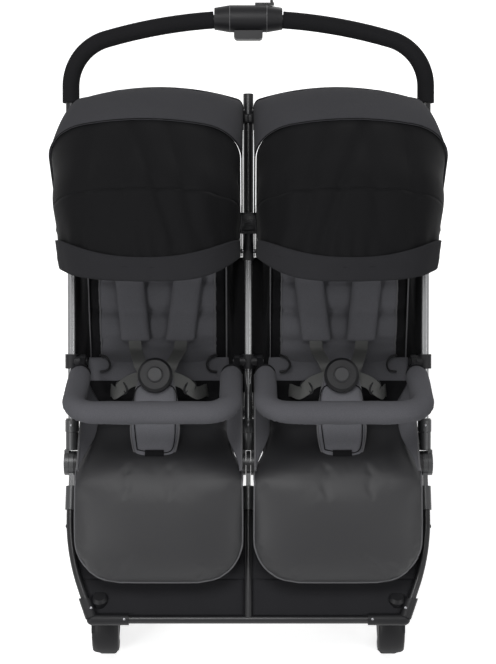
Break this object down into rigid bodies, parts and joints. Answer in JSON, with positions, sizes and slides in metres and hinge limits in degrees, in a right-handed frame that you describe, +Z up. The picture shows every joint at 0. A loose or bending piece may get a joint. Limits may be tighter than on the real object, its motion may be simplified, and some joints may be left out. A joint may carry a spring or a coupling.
{
  "type": "side by side double stroller",
  "caption": "Folding side by side double stroller with padded seats, arched canopies, bumper bars, one wide handle with a squeeze trigger, under-seat baskets and swivel front wheels.",
  "frame": {"origin": "on the floor under the middle of the stroller's box", "axes": "+X to the right seen from the front, +Y to the rear, +Z up; the front faces -Y"},
  "size_m": [0.762, 0.81, 1.0512],
  "materials": {
    "frame_black": "satin",
    "tube_grey": "satin",
    "pin_steel": "satin",
    "plastic_black": "matte",
    "foam_black": "matte",
    "button_grey": "satin",
    "cloth_grey": "matte",
    "cloth_dark": "matte",
    "webbing_black": "matte",
    "tyre_black": "matte",
    "rim_grey": "satin"
  },
  "bodies": {
    "chassis": {"main_tubes": "tube_grey", "hinge_housings": "plastic_black", "hinge_pins": "pin_steel", "seat_crossbars": "frame_black", "seat_bases": "plastic_black", "left_seat_pad": "cloth_grey", "right_seat_pad": "cloth_grey", "crotch_pads": "cloth_grey", "buckles": "plastic_black", "left_basket": "cloth_dark", "right_basket": "cloth_dark", "bumper_mounts": "plastic_black"},
    "front_legs": {"front_legs": "frame_black", "leg_knuckles": "plastic_black", "castor_brackets": "plastic_black", "footwell_panels": "cloth_dark"},
    "rear_legs": {"rear_legs": "frame_black", "rear_axle": "frame_black"},
    "upper_frame": {"handle_bar": "frame_black", "foam_grips": "foam_black", "handle_module": "plastic_black", "centre_upright": "frame_black", "upper_crossbars": "frame_black", "slide_sleeves": "plastic_black", "canopy_pivots": "pin_steel", "left_canopy_rear": "cloth_grey", "right_canopy_rear": "cloth_grey"},
    "brake": {"brake_pedal": "plastic_black"},
    "fold_trigger": {"fold_trigger": "plastic_black"},
    "fold_lock": {"fold_lock": "plastic_black"},
    "left_castor": {"left_castor_fork": "plastic_black"},
    "left_front_wheel": {"left_front_tyre": "tyre_black", "left_front_rim": "rim_grey"},
    "left_rear_wheel": {"left_rear_tyre": "tyre_black", "left_rear_rim": "rim_grey"},
    "left_backrest": {"left_backrest_board": "plastic_black", "left_backrest_pad": "cloth_grey", "left_shoulder_straps": "webbing_black"},
    "left_leg_rest": {"left_leg_rest_board": "plastic_black", "left_leg_rest_pad": "cloth_grey"},
    "left_bumper": {"left_bumper_pad": "cloth_grey", "left_bumper_ends": "plastic_black"},
    "left_canopy_mid": {"left_canopy_mid": "cloth_dark"},
    "left_canopy_front": {"left_canopy_front": "cloth_dark"},
    "left_buckle_button": {"left_buckle_button": "button_grey"},
    "right_castor": {"right_castor_fork": "plastic_black"},
    "right_front_wheel": {"right_front_tyre": "tyre_black", "right_front_rim": "rim_grey"},
    "right_rear_wheel": {"right_rear_tyre": "tyre_black", "right_rear_rim": "rim_grey"},
    "right_backrest": {"right_backrest_board": "plastic_black", "right_backrest_pad": "cloth_grey", "right_shoulder_straps": "webbing_black"},
    "right_leg_rest": {"right_leg_rest_board": "plastic_black", "right_leg_rest_pad": "cloth_grey"},
    "right_bumper": {"right_bumper_pad": "cloth_grey", "right_bumper_ends": "plastic_black"},
    "right_canopy_mid": {"right_canopy_mid": "cloth_dark"},
    "right_canopy_front": {"right_canopy_front": "cloth_dark"},
    "right_buckle_button": {"right_buckle_button": "button_grey"}
  },
  "joints": [
    {"name": "fold", "type": "hinge", "parent": "chassis", "child": "front_legs", "pos_m": [0, -0.15038, 0.33], "axis": [1, 0, 0], "range_deg": [0, 124]},
    {"name": "rear_leg_fold", "type": "hinge", "parent": "chassis", "child": "rear_legs", "pos_m": [0, -0.15038, 0.33], "axis": [1, 0, 0], "range_deg": [0, 39]},
    {"name": "handle_slide", "type": "slide", "parent": "chassis", "child": "upper_frame", "axis": [0, -0.6088, -0.7934], "range_m": [0, 0.07]},
    {"name": "brake_press", "type": "hinge", "parent": "rear_legs", "child": "brake", "pos_m": [0, 0.27622, 0.075], "axis": [-1, 0, 0], "range_deg": [0, 20]},
    {"name": "trigger_squeeze", "type": "slide", "parent": "upper_frame", "child": "fold_trigger", "axis": [0, 0.6088, 0.7934], "range_m": [0, 0.007], "stiffness_N_per_m": 800},
    {"name": "lock_push", "type": "slide", "parent": "upper_frame", "child": "fold_lock", "axis": [-1, 0, 0], "range_m": [0, 0.007], "stiffness_N_per_m": 300},
    {"name": "left_castor_swivel", "type": "hinge", "parent": "front_legs", "child": "left_castor", "pos_m": [-0.285, -0.3605, 0.15], "axis": [0, 0, 1], "continuous": true},
    {"name": "left_front_spin", "type": "hinge", "parent": "left_castor", "child": "left_front_wheel", "pos_m": [-0.277, -0.3245, 0.065], "axis": [1, 0, 0], "continuous": true},
    {"name": "left_rear_spin", "type": "hinge", "parent": "rear_legs", "child": "left_rear_wheel", "pos_m": [-0.364, 0.27622, 0.075], "axis": [1, 0, 0], "continuous": true},
    {"name": "left_recline", "type": "hinge", "parent": "chassis", "child": "left_backrest", "pos_m": [-0.178, -0.00238, 0.39091], "axis": [1, 0, 0], "range_deg": [-38, 0]},
    {"name": "left_leg_rest_lift", "type": "hinge", "parent": "chassis", "child": "left_leg_rest", "pos_m": [-0.178, -0.25438, 0.37691], "axis": [-1, 0, 0], "range_deg": [0, 58]},
    {"name": "left_bumper_tilt", "type": "hinge", "parent": "chassis", "child": "left_bumper", "pos_m": [-0.178, -0.02863, 0.48867], "axis": [-1, 0, 0], "range_deg": [-8, 55]},
    {"name": "left_canopy_fold", "type": "hinge", "parent": "upper_frame", "child": "left_canopy_mid", "pos_m": [-0.18, 0.10286, 0.66004], "axis": [-1, 0, 0], "range_deg": [0, 31]},
    {"name": "left_canopy_gather", "type": "hinge", "parent": "left_canopy_mid", "child": "left_canopy_front", "pos_m": [-0.18, 0.10286, 0.66004], "axis": [-1, 0, 0], "range_deg": [0, 31]},
    {"name": "left_buckle_press", "type": "slide", "parent": "chassis", "child": "left_buckle_button", "axis": [0, 0.6428, -0.766], "range_m": [0, 0.0025], "stiffness_N_per_m": 1500},
    {"name": "right_castor_swivel", "type": "hinge", "parent": "front_legs", "child": "right_castor", "pos_m": [0.285, -0.3605, 0.15], "axis": [0, 0, 1], "continuous": true},
    {"name": "right_front_spin", "type": "hinge", "parent": "right_castor", "child": "right_front_wheel", "pos_m": [0.277, -0.3245, 0.065], "axis": [1, 0, 0], "continuous": true},
    {"name": "right_rear_spin", "type": "hinge", "parent": "rear_legs", "child": "right_rear_wheel", "pos_m": [0.364, 0.27622, 0.075], "axis": [1, 0, 0], "continuous": true},
    {"name": "right_recline", "type": "hinge", "parent": "chassis", "child": "right_backrest", "pos_m": [0.178, -0.00238, 0.39091], "axis": [1, 0, 0], "range_deg": [-38, 0]},
    {"name": "right_leg_rest_lift", "type": "hinge", "parent": "chassis", "child": "right_leg_rest", "pos_m": [0.178, -0.25438, 0.37691], "axis": [-1, 0, 0], "range_deg": [0, 58]},
    {"name": "right_bumper_tilt", "type": "hinge", "parent": "chassis", "child": "right_bumper", "pos_m": [0.178, -0.02863, 0.48867], "axis": [-1, 0, 0], "range_deg": [-8, 55]},
    {"name": "right_canopy_fold", "type": "hinge", "parent": "upper_frame", "child": "right_canopy_mid", "pos_m": [0.18, 0.10286, 0.66004], "axis": [-1, 0, 0], "range_deg": [0, 31]},
    {"name": "right_canopy_gather", "type": "hinge", "parent": "right_canopy_mid", "child": "right_canopy_front", "pos_m": [0.18, 0.10286, 0.66004], "axis": [-1, 0, 0], "range_deg": [0, 31]},
    {"name": "right_buckle_press", "type": "slide", "parent": "chassis", "child": "right_buckle_button", "axis": [0, 0.6428, -0.766], "range_m": [0, 0.0025], "stiffness_N_per_m": 1500}
  ],
  "couplings": [
    {"joint": "rear_leg_fold", "follows": "fold", "ratio": 0.31449},
    {"joint": "handle_slide", "follows": "fold", "m_per_rad": 0.032341},
    {"joint": "left_canopy_gather", "follows": "left_canopy_fold", "ratio": 1},
    {"joint": "right_canopy_gather", "follows": "right_canopy_fold", "ratio": 1}
  ]
}
